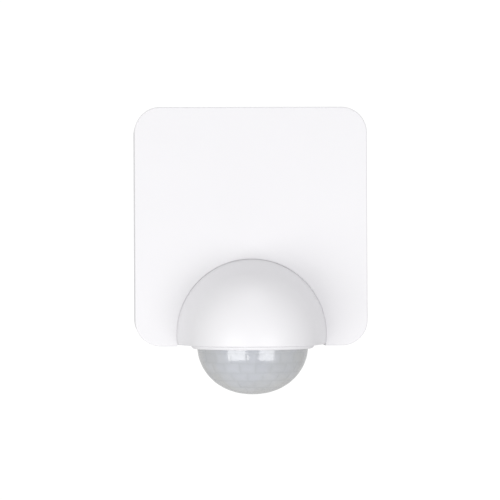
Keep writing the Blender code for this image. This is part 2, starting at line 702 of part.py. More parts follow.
def make_sensor_board(head, screw_reach):
    """The round board under the carrier, with its two screws."""
    middle = (SENSOR_BOARD_TOP + SENSOR_BOARD_BOTTOM) / 2
    board = cylinder(SENSOR_BOARD_RADIUS, BOARD_THICKNESS, (0, -LENS_AXIS, middle), sides=48)
    for label, side in SIDES.items():
        place = (side * screw_reach, -LENS_AXIS, middle)
        cut(board, cylinder(0.0010, 0.0040, place, sides=12), f"sensor_board_hole_{label}")
        seat = (place[0], place[1], SENSOR_BOARD_BOTTOM - FACE_GAP)
        screw = small_screw(f"sensor_board_screw_{label}", seat, (0, 0, 1), 0.0017, 0.0006,
                            0.0010, 0.0032)
        hang_on(head, screw)
    hang_on(head, finish(board, "sensor_board", GREEN_BOARD))


def make_pyro_sensors(head):
    """Three heat sensors, fanned out round a block so that each looks through the lens."""
    top = SENSOR_BOARD_BOTTOM - FACE_GAP
    middle = (0, -LENS_AXIS, top - MOUNT_HEIGHT / 2)
    block = cylinder(MOUNT_RADIUS, MOUNT_HEIGHT, middle, sides=24)
    hang_on(head, finish(block, "sensor_mount", BLACK_PLASTIC))
    eye = Vector((0, -LENS_AXIS, LENS_EQUATOR))
    for label, swing in (("left", -PYRO_SPREAD), ("front", 0.0), ("right", PYRO_SPREAD)):
        look = Vector((math.sin(swing) * math.cos(PYRO_TILT),
                       -math.cos(swing) * math.cos(PYRO_TILT), -math.sin(PYRO_TILT)))
        profile = [(0, PYRO_HEIGHT), (PYRO_RADIUS - 0.0009, PYRO_HEIGHT),
                   (PYRO_RADIUS - 0.0006, PYRO_HEIGHT - 0.0003),
                   (PYRO_RADIUS - 0.0006, 0.0005), (PYRO_RADIUS, 0.0005), (PYRO_RADIUS, 0),
                   (0, 0)]
        can = turned(profile, eye + look * PYRO_REACH, sides=20)
        can.rotation_mode = "QUATERNION"
        can.rotation_quaternion = Vector((0, 0, 1)).rotation_difference(look)
        smooth(can)
        hang_on(head, finish(can, f"pyro_sensor_{label}", STEEL))


def make_light_parts(head):
    """The twilight cell behind the heat sensors and the signal lamp beside them."""
    top = SENSOR_BOARD_BOTTOM - FACE_GAP
    cell_reach = SENSOR_BOARD_RADIUS * 0.72
    cell = cylinder(0.0025, 0.0030, (0, -LENS_AXIS + cell_reach, top - 0.0015), sides=20)
    hang_on(head, finish(cell, "light_sensor", YELLOW_PLASTIC))
    bulb = arc((0, top - 0.0030), (0.0015, 0.0015), 0, -math.pi / 2, 4)
    bulb[-1] = (0, top - 0.0045)
    profile = [(0, top), (0.0015, top), *bulb]
    swing = math.radians(-142)
    lamp_reach = SENSOR_BOARD_RADIUS * 0.75
    place = (lamp_reach * math.sin(swing), -LENS_AXIS - lamp_reach * math.cos(swing), 0)
    lamp = turned(profile, place, sides=16)
    smooth(lamp)
    hang_on(head, finish(lamp, "status_led", RED_PLASTIC))


def make_lead(head):
    """The lead between the boards: it leaves the head along the axis that the head turns on."""
    plug_bottom = SENSOR_BOARD_TOP + FACE_GAP
    plug_top = plug_bottom + 0.0035
    plug = box((-0.0020, -LENS_AXIS - 0.0020, plug_bottom),
               (0.0020, -LENS_AXIS + 0.0020, plug_top))
    hang_on(head, finish(plug, "lead_plug", BLACK_PLASTIC))
    socket_height = HOOD_CENTRE + HOOD_RADIUS - 0.0040
    socket_front = BOARD_FRONT + 0.0045
    socket = box((-0.0035, -socket_front, socket_height - 0.0030),
                 (0.0035, -BOARD_FRONT - FACE_GAP, socket_height + 0.0030))
    finish(socket, "lead_connector", BLACK_PLASTIC)
    start = Vector((0, -LENS_AXIS, plug_top + FACE_GAP))
    end = Vector((0, -socket_front - FACE_GAP, socket_height))
    rise = Vector((0, 0, end.z - start.z))
    run = Vector((0, -(LENS_AXIS - socket_front) * 0.8, 0))
    curve = bpy.data.curves.new("sensor_lead", "CURVE")
    curve.dimensions = "3D"
    curve.bevel_depth = LEAD_RADIUS
    curve.bevel_resolution = 2
    curve.use_fill_caps = True
    spline = curve.splines.new("POLY")
    steps = 12
    spline.points.add(steps)
    for index, point in enumerate(spline.points):
        share = index / steps
        rest = 1 - share
        place = (start * rest ** 3 + (start + rise) * 3 * rest ** 2 * share
                 + (end + run) * 3 * rest * share ** 2 + end * share ** 3)
        point.co = (*place, 1.0)
    lead = bpy.data.objects.new("sensor_lead", curve)
    bpy.context.scene.collection.objects.link(lead)
    finish(lead, "sensor_lead", GREY_RUBBER)


# ---------------------------------------------------------------- power board and its parts


def make_power_board():
    """The mains board: wide above, with a tongue below that carries the adjusters."""
    board = box((-BOARD_HALF_WIDTH, -BOARD_FRONT, BOARD_BOTTOM),
                (BOARD_HALF_WIDTH, -BOARD_BACK, BOARD_TOP))
    for label, side in SIDES.items():
        near = side * KNOB_HALF_ROW
        far = side * (BOARD_HALF_WIDTH + PAST)
        notch = box((min(near, far), -BOARD_FRONT - PAST, BOARD_BOTTOM - PAST),
                    (max(near, far), -BOARD_BACK + PAST, BOARD_SHOULDER))
        cut(board, notch, f"board_notch_{label}")
        for row, height in POST_HEIGHTS.items():
            place = (side * POST_X, -BOARD_BACK, height)
            cut(board, cylinder(0.0013, 0.0060, place, (0, -1, 0), sides=12),
                f"board_hole_{row}_{label}")
            seat = (side * POST_X, -BOARD_BACK + FACE_GAP, height)
            small_screw(f"board_screw_{row}_{label}", seat, (0, -1, 0), 0.0022, 0.0008,
                        0.0012, 0.0070)
    finish(board, "power_board", GREEN_BOARD)


def stand_box(name, material, centre, size):
    """A boxy component on the front of the power board; size is width, height and depth."""
    back = BOARD_FRONT + FACE_GAP
    item = box((centre[0] - size[0] / 2, -back - size[2], centre[1] - size[1] / 2),
               (centre[0] + size[0] / 2, -back, centre[1] + size[1] / 2))
    finish(item, name, material)


def make_board_components():
    middle = COMPONENT_ROW
    stand_box("relay", BLUE_PLASTIC, (-0.0210, middle), (0.0200, 0.0103, 0.0155))
    stand_box("film_capacitor", YELLOW_PLASTIC, (0.0005, middle - 0.0038),
              (0.0180, 0.0060, 0.0120))
    beside_hood = HOOD_CENTRE + HOOD_RADIUS - 0.0060
    stand_box("microcontroller", BLACK_PLASTIC, (-0.0160, beside_hood),
              (0.0070, 0.0070, 0.0015))
    stand_box("bridge_rectifier", BLACK_PLASTIC, (0.0160, beside_hood),
              (0.0060, 0.0050, 0.0025))
    back = BOARD_FRONT + FACE_GAP
    can = cylinder(0.0050, 0.0130, (0.0165, -back - 0.0065, middle), (0, -1, 0), sides=24)
    finish(can, "smoothing_capacitor", BLACK_PLASTIC)
    disc = cylinder(0.0050, 0.0035, (0.0250, -back - 0.0050, middle), (1, 0, 0), sides=24)
    finish(disc, "varistor", BLUE_PLASTIC)
    fuse = cylinder(0.0025, 0.0150, (0, -back - 0.0025, middle + 0.0040), (1, 0, 0), sides=16)
    finish(fuse, "fuse", GREY_PLASTIC)


def make_adjuster(name, across):
    """A trimmer on the back of the board and its knob under the cover, on one axis."""
    shaft_top = BOARD_BOTTOM + FACE_GAP / 2
    body_bottom = shaft_top + FACE_GAP
    centre = (across, -TRIMMER_CENTRE, body_bottom + TRIMMER_HEIGHT / 2)
    half = Vector((TRIMMER_WIDTH, TRIMMER_THICKNESS, TRIMMER_HEIGHT)) / 2
    body = box(Vector(centre) - half, Vector(centre) + half)
    finish(body, f"{name}_trimmer", BLUE_PLASTIC)
    axis = pivot(f"{name}_axis", (across, -TRIMMER_CENTRE, COVER_BOTTOM))
    shoulder = COVER_BOTTOM + COVER_WALL - FACE_GAP
    face = COVER_BOTTOM - KNOB_STAND
    profile = [(0, shaft_top), (KNOB_RADIUS * 0.6, shaft_top), (KNOB_RADIUS * 0.6, shoulder),
               (KNOB_RADIUS, shoulder), (KNOB_RADIUS, face + 0.0003),
               (KNOB_RADIUS - 0.0003, face), (0, face)]
    knob = turned(profile, (across, -TRIMMER_CENTRE, 0), sides=24)
    slot = box((across - 0.0004, -TRIMMER_CENTRE - KNOB_RADIUS - PAST, face - PAST),
               (across + 0.0004, -TRIMMER_CENTRE + KNOB_RADIUS * 0.55, face + 0.0009))
    cut(knob, slot, f"{name}_knob_slot")
    smooth(knob)
    hang_on(axis, finish(knob, f"{name}_knob", WHITE_PLASTIC))


def build():
    make_wall_base()
    make_cable_grommet()
    make_terminal_block()
    make_plug_in_contacts()
    make_cover_seal()
    make_front_cover()
    for label, side in SIDES.items():
        make_cover_screw(label, side)
    make_hood()
    make_hood_screws()
    make_retaining_ring()
    make_power_board()
    make_board_components()
    for name, across in knob_places():
        make_adjuster(name, across)
    head = pivot("head_axis", (0, -LENS_AXIS, RIM))
    make_lens_ring(head)
    make_fresnel_lens(head)
    screw_reach = make_lens_carrier(head)
    make_head_seal(head)
    make_sensor_board(head, screw_reach)
    make_pyro_sensors(head)
    make_light_parts(head)
    make_lead(head)


build()
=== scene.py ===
"""Looks for the wall-mounted motion sensor: finer mouldings, materials, light and camera.

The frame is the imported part: the origin is the centre of the base's back face, -Y faces out of
the wall, +X is to the viewer's right and +Z is up. Lengths are in metres.
"""

import math

import bmesh
import bpy
from mathutils import Matrix, Vector


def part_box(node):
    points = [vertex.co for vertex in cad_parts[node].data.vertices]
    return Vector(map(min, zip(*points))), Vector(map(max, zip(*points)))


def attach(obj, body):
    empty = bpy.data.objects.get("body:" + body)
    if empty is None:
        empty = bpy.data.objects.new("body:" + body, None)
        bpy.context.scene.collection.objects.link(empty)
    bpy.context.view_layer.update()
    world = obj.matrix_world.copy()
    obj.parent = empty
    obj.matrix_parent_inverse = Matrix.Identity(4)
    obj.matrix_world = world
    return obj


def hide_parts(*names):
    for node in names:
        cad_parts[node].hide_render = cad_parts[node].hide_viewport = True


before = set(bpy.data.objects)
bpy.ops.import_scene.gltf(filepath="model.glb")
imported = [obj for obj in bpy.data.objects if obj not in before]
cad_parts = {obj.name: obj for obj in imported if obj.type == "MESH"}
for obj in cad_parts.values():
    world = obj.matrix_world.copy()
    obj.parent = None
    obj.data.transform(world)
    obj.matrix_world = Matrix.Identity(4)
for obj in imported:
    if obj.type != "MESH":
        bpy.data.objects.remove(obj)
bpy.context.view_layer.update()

MM = 0.001
SIDES = (-1, 1)
KNOBS = ((-1, "range"), (0, "time"), (1, "twilight"))

# Sizes shared with the part, in millimetres.
COVER_SIZE = (95.0, 97.5)
COVER_NEAR, COVER_FRONT = 3.0, 31.0
COVER_CORNER, COVER_WALL = 10.5, 2.2
COVER_BOTTOM = -48.75
BASE_SIZE = (89.8, 92.3)
BASE_CORNER, BASE_WALL, BASE_FLOOR, BASE_DEPTH = 7.9, 2.0, 2.5, 9.0
SLOT_SIZE, SLOT_INSET, SLOT_TOP_INSET, SLOT_BOTTOM_INSET = (5.0, 10.0), 11.0, 20.3, 22.15
GROMMET_HEIGHT, GROMMET_HOLE, GROMMET_FLANGE = 33.5, 8.0, 1.4
HOOD_CENTRE, HOOD_RADIUS, HOOD_COLLAR, HOOD_WALL = -43.9, 26.9, 30.6, 2.0
RIM, TUBE_BACK, PANEL_BACK = -48.2, 21.7, 11.5
LENS_AXIS, LENS_RADIUS, LENS_DROP, LENS_WALL = 38.0, 22.5, 19.75, 0.8
LENS_EQUATOR, LENS_TOP = -48.35, -45.1
RING_BORE, RING_RADIUS, RING_LIP = 22.8, 23.4, 24.9
RING_BOTTOM = -49.55
SCREW_X, SCREW_DEPTH, SCREW_TIP = 35.5, 17.0, -42.45
KNOB_PITCH, KNOB_DEPTH, KNOB_RADIUS, KNOB_FACE = 14.0, 7.55, 2.2, -49.65
FIT_GAP = 0.3


def middle_of(node):
    """The middle of a CAD node, in millimetres."""
    low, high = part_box(node)
    return (low + high) / 2 / MM


POST_X = -middle_of("board_screw_upper_left").x
POST_HEIGHTS = (middle_of("board_screw_upper_left").z, middle_of("board_screw_lower_left").z)

# Finer shapes that the part leaves out, in millimetres.
COVER_EDGE, COVER_BACK_EDGE, POCKET_EDGE = 0.6, 0.3, 0.8
ARCH_RADIUS, ARCH_RISE, ARCH_EDGE = 30.615, 0.06, 0.05
POST_RADIUS, POST_END, POST_BORE = 3.0, 11.9, (1.1, 17.9)
BOSS_RADIUS, BOSS_END, BOSS_BORE = 1.9, 24.0, (1.0, 28.0)
EAR_RADIUS, EAR_HOLE = 3.2, 1.3
HOOD_RIM_EDGE = 0.5
DOME_START, CONE_SLOPE = 15.4, 0.327
CELL_EDGE, CELL_GROOVE, CELL_SWELL = 0.55, 0.02, 0.03
LENS_FULLNESS = 0.94
FRESNEL_PITCH = 0.45
# How far a cutter runs past the face that it opens.
PAST = 1.0

# Colours, and the middle of the lens's bluer part in metres.
WHITE = (0.760, 0.754, 0.775)
LENS_MIDDLE = (-0.004, -0.060, -0.053)
LENS_BLUE = (0.466, 0.481, 0.522, 1.0)
LENS_GREY = (0.478, 0.480, 0.464, 1.0)
# The next colour is painted shade, laid toward each lens cell's border and in the grooves between
# cells.
LENS_CELL_SHADE = (0.37, 0.385, 0.395, 1.0)

# Light: a window's azimuths and elevations in degrees as seen from the lens, strength, colour.
AMBIENT, BACKDROP = 0.63, 1.05
WINDOW_DISTANCE = 1.7
WINDOWS = {
    "window_left": ((-57, -17), (-35, 0), 3.35, (1.0, 1.0, 0.985)),
    "window_right": ((11, 44), (-35, 0), 3.2, (1.0, 0.995, 1.0)),
    "window_top": ((-50, 50), (55, 88), 1.4, (1.0, 1.0, 1.0)),
}

# Camera: lens in millimetres, distance in metres, target in millimetres, turns in degrees.
CAMERA_LENS, CAMERA_DISTANCE = 211.9, 1.2
CAMERA_TARGET = (-0.55, -31.0, -9.63)
CAMERA_YAW, CAMERA_ROLL = 3.0, -0.25


# ------------------------------------------------------------------------------- geometry


def new_object(name, points, faces):
    """A mesh object from points in millimetres, with its faces turned outwards."""
    mesh = bpy.data.meshes.new(name)
    mesh.from_pydata([[value * MM for value in point] for point in points], [], faces)
    work = bmesh.new()
    work.from_mesh(mesh)
    bmesh.ops.recalc_face_normals(work, faces=work.faces)
    work.to_mesh(mesh)
    work.free()
    item = bpy.data.objects.new(name, mesh)
    bpy.context.scene.collection.objects.link(item)
    return item


def loft(name, rings):
    """A closed solid through rings of points, with a flat cap at each end."""
    count = len(rings[0])
    points = [point for ring in rings for point in ring]
    faces = [tuple(range(count)), tuple(len(points) - count + k for k in range(count))]
    for row in range(len(rings) - 1):
        for k in range(count):
            a, b = row * count + k, row * count + (k + 1) % count
            faces.append((a, b, b + count, a + count))
    return new_object(name, points, faces)


def rounded(width, height, corner, steps=16, centre=(0, 0)):
    """A rounded rectangle's outline, as x and z."""
    outline = []
    for side_x, side_z, quarter in ((1, 1, 0), (-1, 1, 1), (-1, -1, 2), (1, -1, 3)):
        for step in range(steps + 1):
            angle = (quarter + step / steps) * math.pi / 2
            outline.append((centre[0] + side_x * (width / 2 - corner) + corner * math.cos(angle),
                            centre[1] + side_z * (height / 2 - corner) + corner * math.sin(angle)))
    return outline


def slab(name, size, corner, near, far, near_edge=0.0, far_edge=0.0, steps=16, centre=(0, 0)):
    """A rounded plate between two distances from the wall, with rounded near and far edges."""
    turns = 6
    quarter = [k / turns * math.pi / 2 for k in range(turns + 1)]
    layers = [(near, 0.0)]
    if near_edge:
        layers = [(near + near_edge * (1 - math.sin(a)), near_edge * (1 - math.cos(a)))
                  for a in reversed(quarter)]
    if far_edge:
        layers += [(far - far_edge * (1 - math.sin(a)), far_edge * (1 - math.cos(a)))
                   for a in quarter]
    else:
        layers.append((far, 0.0))
    rings = []
    for out, inset in layers:
        outline = rounded(size[0] - 2 * inset, size[1] - 2 * inset, corner - inset, steps, centre)
        rings.append([(x, -out, z) for x, z in outline])
    return loft(name, rings)


def box(name, low, high):
    """A block between two corners."""
    rings = []
    for z in (low[2], high[2]):
        rings.append([(low[0], low[1], z), (high[0], low[1], z),
                      (high[0], high[1], z), (low[0], high[1], z)])
    return loft(name, rings)


def lathe(name, profile, sides, place=(0, 0, 0), axis="Z"):
    """Turn a profile of (radius, height) about Z, or about -Y for a piece that faces out."""
    points, rows = [], []
    for radius, height in profile:
        if radius < 1e-6:
            rows.append([len(points)] * sides)
            points.append((0, 0, height))
        else:
            rows.append([len(points) + k for k in range(sides)])
            for k in range(sides):
                a = 2 * math.pi * k / sides
                points.append((radius * math.cos(a), radius * math.sin(a), height))
    closed = profile[0][0] > 1e-6 and profile[-1][0] > 1e-6
    pairs = [(r, r + 1) for r in range(len(rows) - 1)]
    if closed:
        pairs.append((len(rows) - 1, 0))
    faces = []
    for first, second in pairs:
        for k in range(sides):
            n = (k + 1) % sides
            face = []
            for index in (rows[first][k], rows[first][n], rows[second][n], rows[second][k]):
                if index not in face:
                    face.append(index)
            if len(face) > 2:
                faces.append(tuple(face))
    if axis == "-Y":
        points = [(x, -z, y) for x, y, z in points]
    points = [(p[0] + place[0], p[1] + place[1], p[2] + place[2]) for p in points]
    return new_object(name, points, faces)


def rod(radius, near, far):
    """The profile of a plain cylinder."""
    return [(0, near), (radius, near), (radius, far), (0, far)]


def arc(centre, radii, start, end, steps):
    """Points on an ellipse's arc; angles are in degrees."""
    points = []
    for step in range(steps + 1):
        a = math.radians(start + (end - start) * step / steps)
        points.append((max(centre[0] + radii[0] * math.cos(a), 0.0),
                       centre[1] + radii[1] * math.sin(a)))
    return points


def drop(item):
    """Remove an object and its mesh."""
    mesh = item.data
    bpy.data.objects.remove(item, do_unlink=True)
    bpy.data.meshes.remove(mesh)


def work_on(item, steps):
    """Apply a list of (operation, other object) Booleans and remove the other objects."""
    for index, (operation, other) in enumerate(steps):
        modifier = item.modifiers.new(f"step_{index}", "BOOLEAN")
        modifier.operation = operation
        modifier.solver = "EXACT"
        modifier.object = other
    bpy.context.view_layer.update()
    evaluated = item.evaluated_get(bpy.context.evaluated_depsgraph_get())
    mesh = bpy.data.meshes.new_from_object(evaluated)
    item.modifiers.clear()
    old = item.data
    item.data = mesh
    bpy.data.meshes.remove(old)
    for _, other in steps:
        drop(other)


def soften(item, angle):
    """Smooth shading that stays sharp at corners over an angle."""
    item.data.shade_smooth()
    item.data.set_sharp_from_angle(angle=math.radians(angle))
    modifier = item.modifiers.new("normals", "WEIGHTED_NORMAL")
    modifier.keep_sharp = True
    return item


# ------------------------------------------------------------------------------ materials


class Nodes:
    """A short way to write a procedural material."""

    def __init__(self, name):
        self.material = bpy.data.materials.new(name)
        self.material.use_nodes = True
        self.tree = self.material.node_tree
        self.shader = self.tree.nodes["Principled BSDF"]

    def add(self, kind, values=None, **settings):
        """A node with its settings, and its inputs set or linked."""
        node = self.tree.nodes.new(kind)
        for key, value in settings.items():
            setattr(node, key, value)
        for key, value in (values or {}).items():
            if isinstance(value, bpy.types.NodeSocket):
                self.tree.links.new(value, node.inputs[key])
            else:
                node.inputs[key].default_value = value
        return node

    def set(self, key, value):
        """Set or link an input of the Principled shader."""
        if isinstance(value, bpy.types.NodeSocket):
            self.tree.links.new(value, self.shader.inputs[key])
        else:
            self.shader.inputs[key].default_value = value

    def place(self):
        """The object's own coordinates."""
        return self.add("ShaderNodeTexCoord").outputs["Object"]

    def noise(self, scale, detail=3.0, roughness=0.5):
        """Noise in the object's own coordinates."""
        return self.add("ShaderNodeTexNoise", {"Vector": self.place(), "Scale": scale,
                                               "Detail": detail, "Roughness": roughness})

    def ramp(self, factor, low, high, low_at=0.3, high_at=0.7):
        """A blend from one colour to another."""
        node = self.add("ShaderNodeValToRGB", {"Fac": factor})
        elements = node.color_ramp.elements
        elements[0].position, elements[0].color = low_at, low
        elements[1].position, elements[1].color = high_at, high
        return node.outputs["Color"]

    def spread(self, factor, low, high):
        """The middle of a noise, stretched between two values."""
        return self.add("ShaderNodeMapRange", {"Value": factor, "From Min": 0.25, "From Max": 0.75,
                                               "To Min": low, "To Max": high}).outputs["Result"]

    def bump(self, height, strength, distance):
        """Relief of a depth in metres."""
        node = self.add("ShaderNodeBump", {"Height": height, "Strength": strength,
                                           "Distance": distance})
        self.set("Normal", node.outputs["Normal"])


def shade(colour, change):
    """A colour made a little lighter or darker."""
    return (*[min(1.0, max(0.0, part * (1 + change))) for part in colour], 1.0)


def plastic(name, colour, roughness=0.4, spread=0.04, grain=900, depth=0.004, mottle=0.015,
            coat=0.0):
    """Moulded plastic: a fine spark-eroded grain and a very slight mottle."""
    nodes = Nodes(name)
    mottled = nodes.noise(35, 2)
    nodes.set("Base Color", nodes.ramp(mottled.outputs["Fac"], shade(colour, -mottle),
                                       shade(colour, mottle)))
    grained = nodes.noise(grain, 4, 0.6)
    nodes.set("Roughness", nodes.spread(grained.outputs["Fac"], roughness - spread,
                                        roughness + spread))
    nodes.set("Coat Weight", coat)
    nodes.bump(grained.outputs["Fac"], 0.25, depth * MM)
    return nodes.material


def metal(name, colour, roughness):
    """Zinc-plated steel with fine drawn lines."""
    nodes = Nodes(name)
    stretched = nodes.add("ShaderNodeMapping", {"Vector": nodes.place(), "Scale": (1, 1, 14)})
    lines = nodes.add("ShaderNodeTexNoise", {"Vector": stretched.outputs["Vector"],
                                             "Scale": 700.0, "Detail": 3.0})
    nodes.set("Base Color", nodes.ramp(lines.outputs["Fac"], shade(colour, -0.12),
                                       shade(colour, 0.08)))
    nodes.set("Metallic", 1.0)
    nodes.set("Roughness", nodes.spread(lines.outputs["Fac"], roughness - 0.08,
                                        roughness + 0.08))
    nodes.bump(lines.outputs["Fac"], 0.2, 0.01 * MM)
    return nodes.material


def board(name, colour):
    """Solder mask over copper tracks, with pads."""
    nodes = Nodes(name)
    tracks = nodes.add("ShaderNodeTexBrick", {"Vector": nodes.place(), "Scale": 420.0,
                                              "Mortar Size": 0.035, "Color1": shade(colour, -0.1),
                                              "Color2": shade(colour, 0.1),
                                              "Mortar": shade(colour, 0.9)})
    nodes.set("Base Color", tracks.outputs["Color"])
    fine = nodes.noise(800, 3)
    nodes.set("Roughness", nodes.spread(fine.outputs["Fac"], 0.36, 0.5))
    nodes.bump(tracks.outputs["Fac"], 0.3, 0.02 * MM)
    return nodes.material


def lens_material(name):
    """Milky polyethylene: a slight blue in the middle, greyer and greener all round it, with
    the lens cells' fine rings pressed into it, and painted shade toward each cell's border
    and in the grooves between cells."""
    nodes = Nodes(name)
    middle = nodes.add("ShaderNodeVectorMath", {0: nodes.place()}, operation="DISTANCE")
    middle.inputs[1].default_value = LENS_MIDDLE
    across = nodes.add("ShaderNodeMapRange", {"Value": middle.outputs["Value"],
                                              "From Min": 0.003, "From Max": 0.020})
    cloud = nodes.noise(160, 3)
    mixed = nodes.add("ShaderNodeMath", {0: across.outputs["Result"], 1: cloud.outputs["Fac"]},
                      operation="MULTIPLY_ADD")
    mixed.inputs[2].default_value = -0.05
    colour = nodes.ramp(mixed.outputs[0], LENS_BLUE, LENS_GREY, 0.1, 0.75)
    # Painted shade: the colour is darkened toward each cell's border and in the grooves between
    # cells, as shade of the cells' swell.
    groove = nodes.add("ShaderNodeAttribute", attribute_name="cell_painted_shade").outputs["Fac"]
    painted_shade = nodes.add("ShaderNodeMath", {0: groove, 1: 0.34}, operation="MULTIPLY").outputs[0]
    factor_in, first_in, second_in, colour_out = 0, 6, 7, 2
    shaded_colour = nodes.add("ShaderNodeMix", {factor_in: painted_shade, first_in: colour,
                                        second_in: LENS_CELL_SHADE}, data_type="RGBA")
    tone = nodes.add("ShaderNodeAttribute", attribute_name="cell_tone").outputs["Fac"]
    value = nodes.add("ShaderNodeMapRange", {"Value": tone, "To Min": 0.96, "To Max": 1.04})
    toned = nodes.add("ShaderNodeHueSaturation", {"Value": value.outputs["Result"],
                                                  "Color": shaded_colour.outputs[colour_out]})
    nodes.set("Base Color", toned.outputs["Color"])
    radius = nodes.add("ShaderNodeAttribute", attribute_name="cell_radius").outputs["Fac"]
    turns = nodes.add("ShaderNodeMath", {0: radius, 1: 2 * math.pi / FRESNEL_PITCH},
                      operation="MULTIPLY")
    rings = nodes.add("ShaderNodeMath", {0: turns.outputs[0]}, operation="SINE")
    nodes.bump(rings.outputs[0], 0.35, 0.012 * MM)
    fine = nodes.noise(500, 3)
    nodes.set("Roughness", nodes.spread(fine.outputs["Fac"], 0.10, 0.18))
    nodes.set("Specular IOR Level", 0.5)
    nodes.set("Coat Weight", 1.0)
    nodes.set("Coat IOR", 1.55)
    nodes.set("Coat Roughness", 0.08)
    nodes.set("Subsurface Weight", 0.15)
    nodes.set("Subsurface Scale", 0.004)
    nodes.set("Subsurface Radius", (1.0, 1.0, 1.0))
    return nodes.material


MATERIALS = {
    "white_plastic": plastic("white_plastic_satin", WHITE, 0.42, mottle=0.004),
    "lens_plastic": lens_material("lens_plastic_milky"),
    "black_rubber": plastic("black_rubber_matt", (0.022, 0.022, 0.024), 0.75, 0.08, 500, 0.02),
    "grey_rubber": plastic("grey_rubber_matt", (0.26, 0.26, 0.27), 0.72, 0.08, 500, 0.02),
    "zinc_steel": metal("zinc_steel_brushed", (0.62, 0.63, 0.65), 0.32),
    "green_board": board("green_board_mask", (0.018, 0.16, 0.06)),
    "black_plastic": plastic("black_plastic_moulded", (0.025, 0.025, 0.028), 0.42, 0.06),
    "blue_plastic": plastic("blue_plastic_moulded", (0.035, 0.11, 0.36), 0.38, 0.05),
    "yellow_plastic": plastic("yellow_plastic_moulded", (0.72, 0.50, 0.05), 0.38, 0.05),
    "grey_plastic": plastic("grey_plastic_moulded", (0.36, 0.37, 0.38), 0.45, 0.05),
    "red_plastic": plastic("red_plastic_clear", (0.52, 0.02, 0.015), 0.18, 0.04, coat=0.5),
}
MARKS = plastic("dial_marks_grey", (0.30, 0.31, 0.33), 0.55)


def dress(item, slot_name, body, *nodes):
    """Give a finer piece its material and body, and let it stand for its CAD nodes."""
    item.data.materials.clear()
    item.data.materials.append(MATERIALS[slot_name])
    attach(item, body)
    if nodes:
        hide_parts(*nodes)


# ------------------------------------------------------------------------- housing pieces


def make_cover():
    """The front shell, with its posts and bosses, and open to the hood, screws and knobs."""
    cover = slab("cover_moulding", COVER_SIZE, COVER_CORNER, COVER_NEAR, COVER_FRONT,
                 near_edge=COVER_BACK_EDGE, far_edge=COVER_EDGE, steps=20)
    inner = (COVER_SIZE[0] - 2 * COVER_WALL, COVER_SIZE[1] - 2 * COVER_WALL)
    steps = [("DIFFERENCE", slab("pocket", inner, COVER_CORNER - COVER_WALL, COVER_NEAR - PAST,
                                 COVER_FRONT - COVER_WALL, far_edge=POCKET_EDGE, steps=20))]
    root = COVER_FRONT - COVER_WALL / 2
    for side in SIDES:
        for height in POST_HEIGHTS:
            place = (side * POST_X, 0, height)
            post = rod(POST_RADIUS, POST_END, root)
            bore = rod(POST_BORE[0], POST_END - PAST, POST_BORE[1])
            steps.append(("UNION", lathe("post", post, 40, place, "-Y")))
            steps.append(("DIFFERENCE", lathe("bore", bore, 24, place, "-Y")))
        across, up = ear_place(side)
        place = (across, 0, up)
        boss = rod(BOSS_RADIUS, BOSS_END, root)
        bore = rod(BOSS_BORE[0], BOSS_END - PAST, BOSS_BORE[1])
        steps.append(("UNION", lathe("boss", boss, 40, place, "-Y")))
        steps.append(("DIFFERENCE", lathe("boss_bore", bore, 24, place, "-Y")))
    near, far = PANEL_BACK - FIT_GAP, COVER_FRONT + PAST
    arch = [(0, near), (ARCH_RADIUS, near), (ARCH_RADIUS, COVER_FRONT - ARCH_EDGE)]
    arch += [(ARCH_RADIUS + ARCH_EDGE - x, y) for x, y in
             arc((0, COVER_FRONT - ARCH_EDGE), (ARCH_EDGE, ARCH_EDGE), 0, 80, 5)][1:]
    arch += [(ARCH_RADIUS + ARCH_EDGE, far), (0, far)]
    steps.append(("DIFFERENCE", lathe("arch", arch, 160, (0, 0, HOOD_CENTRE + ARCH_RISE), "-Y")))
    recess, seat, shank, chamfer, end = 3.1, 1.2, 1.7, 0.2, 3 * COVER_WALL
    screw_hole = [(0, -PAST), (recess + chamfer, -PAST), (recess + chamfer, -chamfer / 2),
                  (recess, chamfer), (recess, seat), (shank, seat), (shank, end), (0, end)]
    for side in SIDES:
        place = (side * SCREW_X, -SCREW_DEPTH, COVER_BOTTOM)
        steps.append(("DIFFERENCE", lathe("screw_hole", screw_hole, 40, place)))
    clear, end = KNOB_RADIUS + FIT_GAP, 2 * COVER_WALL
    knob_hole = [(0, -PAST), (clear + FIT_GAP, -PAST), (clear, 0.25), (clear, end), (0, end)]
    for index, _ in KNOBS:
        place = (index * KNOB_PITCH, -KNOB_DEPTH, COVER_BOTTOM)
        steps.append(("DIFFERENCE", lathe("knob_hole", knob_hole, 40, place)))
    work_on(cover, steps)
    dress(soften(cover, angle=28), "white_plastic", "housing", "front_cover")


def make_dial_marks():
    """Raised marks round the three adjusters, under the cover."""
    half_width, stand, sunk = 0.14, 0.12, 0.02
    near, short, long = 3.3, 3.9, 4.3
    marks = []
    for index, _ in KNOBS:
        for turn in range(-3, 4):
            far = long if turn in (-3, 0, 3) else short
            mark = box("mark", (-half_width, near, -stand), (half_width, far, sunk))
            mark.data.transform(Matrix.Rotation(math.radians(turn * 45), 4, "Z"))
            centre = Vector((index * KNOB_PITCH, -KNOB_DEPTH, COVER_BOTTOM)) * MM
            mark.data.transform(Matrix.Translation(centre))
            marks.append(mark)
    work = bmesh.new()
    for mark in marks:
        work.from_mesh(mark.data)
        drop(mark)
    mesh = bpy.data.meshes.new("dial_marks")
    work.to_mesh(mesh)
    work.free()
    item = bpy.data.objects.new("dial_marks", mesh)
    bpy.context.scene.collection.objects.link(item)
    item.data.materials.append(MARKS)
    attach(item, "housing")


